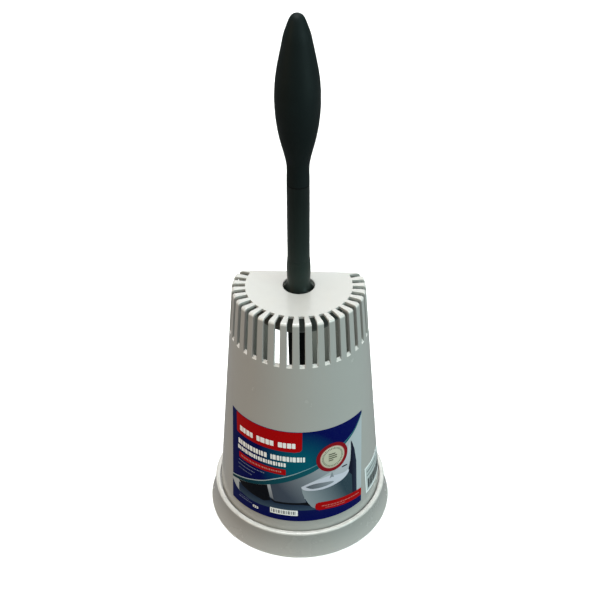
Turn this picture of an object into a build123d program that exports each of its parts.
from build123d import *
from math import cos, degrees, radians, sin, tan
import os

# Toilet plunger standing in a drip tray under a vented, lift-off cover.
# +Z is up, the front of the cover faces -Y, and the origin is the centre of the
# footprint on the floor. All sizes are in millimetres.

os.makedirs("parts", exist_ok=True)

# ---- driving dimensions -------------------------------------------------------

# cover: a cone round the handle axis, cut by a flat back that leans outwards
plate_top = 276.0
plate_radius = 64.0
cover_slope = 0.0857
cover_bottom = 24.0
wall = 2.5
back_at_plate = 24.1
back_lean = 12.4
back_corner_radius = 12.0
plate_edge_radius = 3.0
handle_hole_radius = 15.2

# ventilation slots, which run over the edge of the plate and down the wall
slot_count = 22
slot_pitch = 10.3
slot_width = 5.1
slot_inner_radius = 51.4
slot_bottom = 228.0
slot_edge_radius = 0.5

# opening in the leaning back, low enough to let the wet cup breathe
window_centre_x = -22.0
window_centre_z = 155.0
window_width = 17.0
window_height = 84.0
window_corner_radius = 8.0

# drip tray
tray_bottom = 1.0
tray_foot_radius = 96.8
tray_rim_top = 29.0
tray_rim_outer = 91.4
tray_rim_inner = 86.6
tray_wall = 2.4
tray_floor_top = 8.0
tray_well_radius = 81.0
rib_count = 12
rib_width = 2.4
rib_top = 12.0
foot_count = 4
foot_circle_radius = 66.0
foot_radius = 8.0
foot_height = 3.2

# handle
tip_top = 543.0
seam_height = 385.6
shaft_radius = 10.5
shaft_bottom = 258.0
rod_radius = 10.4
rod_bottom = 104.0
spigot_radius = 7.6
spigot_length = 40.0
grip_belly_radius = 20.1
grip_belly_height = 467.0
nose_radius = 8.5
nose_height = 534.3
core_top = 512.0

# lift collar on the shaft
collar_top = 306.0
collar_rim_radius = 43.0
collar_rim_height = 251.0
collar_thickness = 2.2
collar_flat = 20.0
pin_radius = 1.5
pin_length = 28.0
pin_height = 268.0

# rubber cup
cup_bottom = 12.2
lip_outer_radius = 37.0
lip_bore_radius = 33.0
lip_bore_bottom = 14.2
lip_bore_top = 36.0
neck_radius = 39.0
neck_height = 40.0
cup_belly_radius = 66.0
cup_belly_height = 66.0
cup_wall = 4.0
bead_radius = 2.2
hub_radius = 20.0
hub_top = 126.0
hub_floor = 94.0
socket_radius = 13.6
socket_floor = 100.0
screw_radius = 2.6

# paper labels
label_thickness = 0.2
front_label_width = 153.6
front_label_turn = -1.2
front_label_bottom = 41.0
front_label_top = 154.0
side_label_start = 57.5
side_label_end = 93.0
side_label_bottom = 43.0
side_label_top = 77.0

# clearances
fit_gap = 0.05
loose_gap = 0.3


def cover_radius(height):
    """Outer radius of the cover's cone at a height."""
    return plate_radius + cover_slope * (plate_top - height)


def back_distance(height):
    """How far behind the axis the cover's flat back stands at a height."""
    return back_at_plate + (plate_top - height) * tan(radians(back_lean))


def write(part, name):
    """Label a finished piece and write its file."""
    part.label = name
    export_step(part, f"parts/{name}.step")


# ---- drip tray ----------------------------------------------------------------

floor_underside = tray_floor_top - tray_wall
ledge_underside = cover_bottom - tray_wall
rim_round = 2.2
floor_round = 3.0

with BuildPart() as drip_tray:
    with BuildSketch(Plane.XZ):
        with BuildLine():
            skirt = ThreePointArc(
                (tray_foot_radius, tray_bottom),
                (tray_rim_outer + 1.7, 13.0),
                (tray_rim_outer, tray_rim_top - rim_round),
            )
            CenterArc((tray_rim_outer - rim_round, tray_rim_top - rim_round), rim_round, 0, 90)
            Polyline(
                (tray_rim_outer - rim_round, tray_rim_top),
                (tray_rim_inner + 0.5, tray_rim_top),
                (tray_rim_inner, tray_rim_top - 0.5),
                (tray_rim_inner, cover_bottom),
                (tray_well_radius + 1.5, cover_bottom),
                (tray_well_radius, tray_floor_top + floor_round),
            )
            CenterArc(
                (tray_well_radius - floor_round, tray_floor_top + floor_round), floor_round, 270, 90
            )
            Polyline(
                (tray_well_radius - floor_round, tray_floor_top),
                (0, tray_floor_top),
                (0, floor_underside),
                (tray_well_radius + 1.0, floor_underside),
                (tray_well_radius + 3.6, ledge_underside),
                (tray_rim_outer - tray_wall, ledge_underside),
            )
            inner_skirt = ThreePointArc(
                (tray_rim_outer - tray_wall, ledge_underside),
                (tray_rim_outer + 1.3 - tray_wall, 13.0),
                (tray_foot_radius - tray_wall, tray_bottom),
            )
            Line(inner_skirt @ 1, skirt @ 0)
        make_face()
    revolve(axis=Axis.Z)
    # radial ribs hold the cup off the wet floor
    with BuildSketch(Plane.XY.offset(tray_floor_top - 0.5)):
        with PolarLocations(37.0, rib_count):
            Rectangle(42.0, rib_width)
    extrude(amount=rib_top - tray_floor_top + 0.5)
    # bosses for the rubber feet
    with BuildSketch(Plane.XY.offset(foot_height)):
        with PolarLocations(foot_circle_radius, foot_count, start_angle=45):
            Circle(foot_radius + 1.6)
    extrude(amount=floor_underside - foot_height + 0.5)
write(drip_tray.part, "drip_tray")

with BuildPart() as tray_feet:
    with BuildSketch():
        with PolarLocations(foot_circle_radius, foot_count, start_angle=45):
            Circle(foot_radius)
    extrude(amount=foot_height)
    chamfer(tray_feet.edges().group_by(Axis.Z)[0], 0.7)
write(tray_feet.part, "tray_feet")

# ---- rubber cup ---------------------------------------------------------------

with BuildPart() as rubber_cup:
    with BuildSketch(Plane.XZ):
        with BuildLine():
            outside = Spline(
                (neck_radius, neck_height),
                (cup_belly_radius - 5.0, 48.0),
                (cup_belly_radius, cup_belly_height),
                (50.0, 98.0),
                (hub_radius + 1.0, 110.0),
                tangents=((0.3, 1), (-0.35, 1)),
                tangent_scalars=(0.3, 0.4),
            )
            Line(outside @ 1, (hub_radius, hub_top))
            Polyline(
                (hub_radius, hub_top),
                (socket_radius, hub_top),
                (socket_radius, socket_floor),
                (screw_radius + 0.5, socket_floor),
                (screw_radius + 0.5, hub_floor),
                (hub_radius, hub_floor),
            )
            inside = Spline(
                (hub_radius, hub_floor),
                (50.0 - 2.5, 98.0 - 4.5),
                (cup_belly_radius - cup_wall, cup_belly_height),
                (cup_belly_radius - 8.6, 52.0),
                (neck_radius - cup_wall, neck_height + 1.5),
                tangents=((1, 0.12), (-0.3, -1)),
                tangent_scalars=(0.5, 0.3),
            )
            # the lip that seats in the drain, with a straight bore
            Polyline(
                inside @ 1,
                (lip_bore_radius, lip_bore_top),
                (lip_bore_radius, lip_bore_bottom),
                (lip_bore_radius + 1.2, cup_bottom),
                (lip_outer_radius - 1.0, cup_bottom),
                (lip_outer_radius, cup_bottom + 1.2),
                outside @ 0,
            )
        make_face()
    revolve(axis=Axis.Z)
    # sealing bead round the belly
    with BuildSketch(Plane.XZ):
        with Locations((cup_belly_radius - 0.9, cup_belly_height - 4.0)):
            Circle(bead_radius)
    revolve(axis=Axis.Z)
write(rubber_cup.part, "rubber_cup")

# ---- handle: rod, tube, grip --------------------------------------------------

ferrule_radius = socket_radius - fit_gap
ferrule_bottom = socket_floor + loose_gap
ferrule_flange_radius = 17.5
ferrule_flange_bottom = hub_top + loose_gap
ferrule_top = ferrule_flange_bottom + 5.0
plug_top = 132.0
plug_radius = 6.5

with BuildPart() as cup_ferrule:
    with BuildSketch(Plane.XZ):
        Polygon(
            (screw_radius + 0.4, ferrule_bottom),
            (ferrule_radius, ferrule_bottom),
            (ferrule_radius, ferrule_flange_bottom),
            (ferrule_flange_radius, ferrule_flange_bottom),
            (ferrule_flange_radius, ferrule_top - 2.0),
            (rod_radius + 3.0, ferrule_top + 4.0),
            (rod_radius + fit_gap, ferrule_top + 4.0),
            (rod_radius + fit_gap, rod_bottom),
            (screw_radius + 0.4, rod_bottom),
            align=None,
        )
    revolve(axis=Axis.Z)
write(cup_ferrule.part, "cup_ferrule")

rod_bore_depth = 142.0

with BuildPart() as lower_rod:
    with BuildSketch(Plane.XY.offset(rod_bottom)):
        Circle(rod_radius)
    extrude(amount=shaft_bottom - rod_bottom)
    with BuildSketch(Plane.XY.offset(shaft_bottom)):
        Circle(spigot_radius)
    extrude(amount=spigot_length)
    chamfer(lower_rod.edges().group_by(Axis.Z)[-1], 1.0)
    with BuildSketch(Plane.XY.offset(rod_bottom)):
        Circle(plug_radius)
    extrude(amount=rod_bore_depth, mode=Mode.SUBTRACT)
    with BuildSketch(Plane.YZ):
        with Locations((0, pin_height)):
            Circle(pin_radius)
    extrude(amount=30.0, both=True, mode=Mode.SUBTRACT)
write(lower_rod.part, "lower_rod")

with BuildPart() as rod_plug:
    with BuildSketch(Plane.XY.offset(rod_bottom)):
        Circle(plug_radius)
        Circle(screw_radius, mode=Mode.SUBTRACT)
    extrude(amount=plug_top - rod_bottom)
write(rod_plug.part, "rod_plug")

washer_radius = 15.0
washer_thickness = 1.6
head_radius = 5.6
head_height = 3.2
head_bottom = hub_floor - washer_thickness - head_height
recess_length = 6.0
recess_width = 1.3
recess_depth = 1.8

with BuildPart() as cup_washer:
    with BuildSketch(Plane.XY.offset(hub_floor - washer_thickness)):
        Circle(washer_radius)
        Circle(screw_radius + 0.4, mode=Mode.SUBTRACT)
    extrude(amount=washer_thickness)
    chamfer(cup_washer.edges().group_by(Axis.Z)[0].sort_by(SortBy.RADIUS)[-1], 0.4)
write(cup_washer.part, "cup_washer")

with BuildPart() as retaining_screw:
    with BuildSketch(Plane.XY.offset(hub_floor - washer_thickness)):
        Circle(screw_radius)
    extrude(amount=plug_top - 4.0 - hub_floor)
    with BuildSketch(Plane.XY.offset(head_bottom)):
        Circle(head_radius)
    extrude(amount=head_height)
    fillet(retaining_screw.edges().group_by(Axis.Z)[0], 1.6)
    with BuildSketch(Plane.XY.offset(head_bottom)):
        Rectangle(recess_length, recess_width)
        Rectangle(recess_width, recess_length)
    extrude(amount=recess_depth, mode=Mode.SUBTRACT)
write(retaining_screw.part, "retaining_screw")

with BuildPart() as shaft_tube:
    with BuildSketch(Plane.XY.offset(shaft_bottom)):
        Circle(shaft_radius)
        Circle(spigot_radius, mode=Mode.SUBTRACT)
    extrude(amount=seam_height - shaft_bottom)
    with BuildSketch(Plane.YZ):
        with Locations((0, pin_height)):
            Circle(pin_radius)
    extrude(amount=30.0, both=True, mode=Mode.SUBTRACT)
write(shaft_tube.part, "shaft_tube")

with BuildPart() as lift_collar:
    with BuildSketch(Plane.XZ):
        with BuildLine():
            trumpet = Spline(
                (shaft_radius + 0.35, collar_top),
                (11.3, 289.0),
                (11.9, plate_top),
                (15.6, 270.0),
                (21.5, 263.5),
                (collar_rim_radius, collar_rim_height + collar_thickness),
                tangents=((0.05, -1), (1, -0.28)),
            )
            Polyline(
                trumpet @ 1,
                (collar_rim_radius, collar_rim_height),
                (26.0, collar_rim_height + 5.0),
                (17.0, shaft_bottom),
                (shaft_radius, shaft_bottom),
                (shaft_radius, collar_top),
                trumpet @ 0,
            )
        make_face()
    revolve(axis=Axis.Z)
    # flat at the back, clear of the cover's flat wall, which stops the handle turning
    split(bisect_by=Plane.XZ.offset(-collar_flat), keep=Keep.TOP)
    with BuildSketch(Plane.YZ):
        with Locations((0, pin_height)):
            Circle(pin_radius)
    extrude(amount=pin_length / 2 + 0.5, both=True, mode=Mode.SUBTRACT)
write(lift_collar.part, "lift_collar")

with BuildPart() as collar_pin:
    with BuildSketch(Plane.YZ):
        with Locations((0, pin_height)):
            Circle(pin_radius)
    extrude(amount=pin_length / 2, both=True)
write(collar_pin.part, "collar_pin")

seam_ring_height = 1.2
grip_bottom = seam_height + seam_ring_height
core_radius = 5.5
key_count = 4
key_pitch = 20.0
key_thickness = 3.0
first_key_height = 430.0

with BuildPart() as seam_ring:
    with BuildSketch(Plane.XY.offset(seam_height)):
        Circle(shaft_radius - 0.15)
        Circle(spigot_radius, mode=Mode.SUBTRACT)
    extrude(amount=seam_ring_height)
write(seam_ring.part, "seam_ring")

with BuildPart() as grip_core:
    with BuildSketch(Plane.XZ):
        Polygon(
            (0, seam_height - spigot_length),
            (spigot_radius - 1.0, seam_height - spigot_length),
            (spigot_radius, seam_height - spigot_length + 1.5),
            (spigot_radius, grip_bottom + 14.0),
            (core_radius, grip_bottom + 24.0),
            (core_radius, core_top - 2.0),
            (core_radius - 2.0, core_top),
            (0, core_top),
            align=None,
        )
    revolve(axis=Axis.Z)
    # keys that lock the soft grip to its core
    for key in range(key_count):
        with BuildSketch(Plane.XY.offset(first_key_height + key * key_pitch)):
            Circle(core_radius + 2.0)
        extrude(amount=key_thickness)
write(grip_core.part, "grip_core")

with BuildPart() as grip_sleeve:
    with BuildSketch(Plane.XZ):
        with BuildLine():
            belly = Spline(
                (shaft_radius, grip_bottom),
                (shaft_radius - 0.1, grip_bottom + 18.0),
                (15.2, 427.0),
                (grip_belly_radius, grip_belly_height),
                (18.0, 494.0),
                (13.0, 519.0),
                (nose_radius, nose_height),
                tangents=((0, 1), (-0.38, 1)),
            )
            nose = Spline(
                belly @ 1,
                (0.66 * nose_radius, 0.3 * nose_height + 0.7 * tip_top),
                (0, tip_top),
                tangents=((-0.38, 1), (-1, 0)),
            )
            Line(nose @ 1, (0, grip_bottom))
            Line((0, grip_bottom), belly @ 0)
        make_face()
    revolve(axis=Axis.Z)
    add(grip_core.part, mode=Mode.SUBTRACT)
write(grip_sleeve.part, "grip_sleeve")

# ---- cover --------------------------------------------------------------------


def cover_form(inset, bottom, top):
    """Solid cone with a leaning flat back, drawn in by inset on every side."""
    lean = radians(back_lean)
    back = Plane(
        origin=(0, back_distance(top) - inset / cos(lean), top),
        z_dir=(0, cos(lean), sin(lean)),
    )
    with BuildPart(Plane.XY.offset(bottom)) as form:
        Cone(
            cover_radius(bottom) - inset,
            cover_radius(top) - inset,
            top - bottom,
            align=(Align.CENTER, Align.CENTER, Align.MIN),
        )
        split(bisect_by=back, keep=Keep.BOTTOM)
        corners = form.edges().filter_by(GeomType.CIRCLE, reverse=True).filter_by(
            lambda edge: edge.bounding_box().size.Z > 0.9 * (top - bottom)
        )
        fillet(corners, back_corner_radius - inset)
        fillet(form.edges().group_by(Axis.Z)[-1], plate_edge_radius - min(inset, 2.0))
    return form.part


outer_form = cover_form(0, cover_bottom, plate_top)
inner_form = cover_form(wall, cover_bottom - 1.0, plate_top - wall)

# one slot: a radial slab with a sloping sill where it ends in the wall
with BuildPart() as slot_cutter:
    with BuildSketch(Plane.XZ):
        Polygon(
            (slot_inner_radius, plate_top + 5.0),
            (slot_inner_radius, slot_bottom + wall),
            (cover_radius(slot_bottom) - wall, slot_bottom + wall),
            (cover_radius(slot_bottom) + wall, slot_bottom - wall),
            (cover_radius(slot_bottom) + 8.0, slot_bottom - wall),
            (cover_radius(slot_bottom) + 8.0, plate_top + 5.0),
            align=None,
        )
    extrude(amount=slot_width / 2, both=True)

with BuildPart() as cover:
    add(outer_form)
    add(inner_form, mode=Mode.SUBTRACT)
    with BuildSketch(Plane.XY.offset(plate_top)):
        Circle(handle_hole_radius)
    extrude(amount=-2 * wall, mode=Mode.SUBTRACT)
    hole_edge = cover.edges().filter_by(GeomType.CIRCLE).group_by(Axis.Z)[-1].sort_by(SortBy.RADIUS)[0]
    fillet(hole_edge, 0.9)
    first_slot = -90.0 - slot_pitch * (slot_count - 1) / 2
    with PolarLocations(0, slot_count, first_slot, slot_pitch * slot_count):
        add(slot_cutter.part, mode=Mode.SUBTRACT)
    # soften the slots' long outer edges, which run on over the edge of the plate
    outer_skin = outer_form.shell()
    slot_edges = cover.edges(Select.LAST).filter_by(
        lambda edge: edge.length > 30.0 and outer_skin.distance_to(edge @ 0.5) < 0.01
    )
    fillet(slot_edges, slot_edge_radius)
    with BuildSketch(Plane.XZ):
        with Locations((window_centre_x, window_centre_z)):
            RectangleRounded(window_width, window_height, window_corner_radius)
    extrude(amount=-90.0, mode=Mode.SUBTRACT)
write(cover.part, "cover")

# ---- paper labels -------------------------------------------------------------


def label_band(bottom, top, start, end):
    """Thin skin on the cover's cone between two heights and two azimuths."""
    with BuildPart() as band:
        with BuildSketch(Plane.XZ.rotated((0, 0, start - 90.0))):
            Polygon(
                (cover_radius(bottom), bottom),
                (cover_radius(bottom) + label_thickness, bottom),
                (cover_radius(top) + label_thickness, top),
                (cover_radius(top), top),
                align=None,
            )
        revolve(axis=Axis.Z, revolution_arc=end - start)
    return band.part


half_front = degrees(front_label_width / 2 / cover_radius(front_label_top))
with BuildPart() as front_label:
    add(label_band(front_label_bottom, front_label_top, -half_front, half_front))
    # the paper is a rectangle before it is wrapped round the cone
    upper_edge = cover_radius(front_label_top) * sin(radians(half_front))
    lower_half = front_label_width / 2 / cover_radius(front_label_bottom)
    lower_edge = cover_radius(front_label_bottom) * sin(lower_half)
    with BuildSketch(Plane.XZ):
        Polygon(
            (-lower_edge, front_label_bottom - 1.0),
            (lower_edge, front_label_bottom - 1.0),
            (upper_edge, front_label_top + 1.0),
            (-upper_edge, front_label_top + 1.0),
            align=None,
        )
    extrude(amount=100.0, mode=Mode.INTERSECT)
write(front_label.part.rotate(Axis.Z, front_label_turn), "front_label")

side_label = label_band(side_label_bottom, side_label_top, side_label_start, side_label_end)
write(side_label, "side_label")
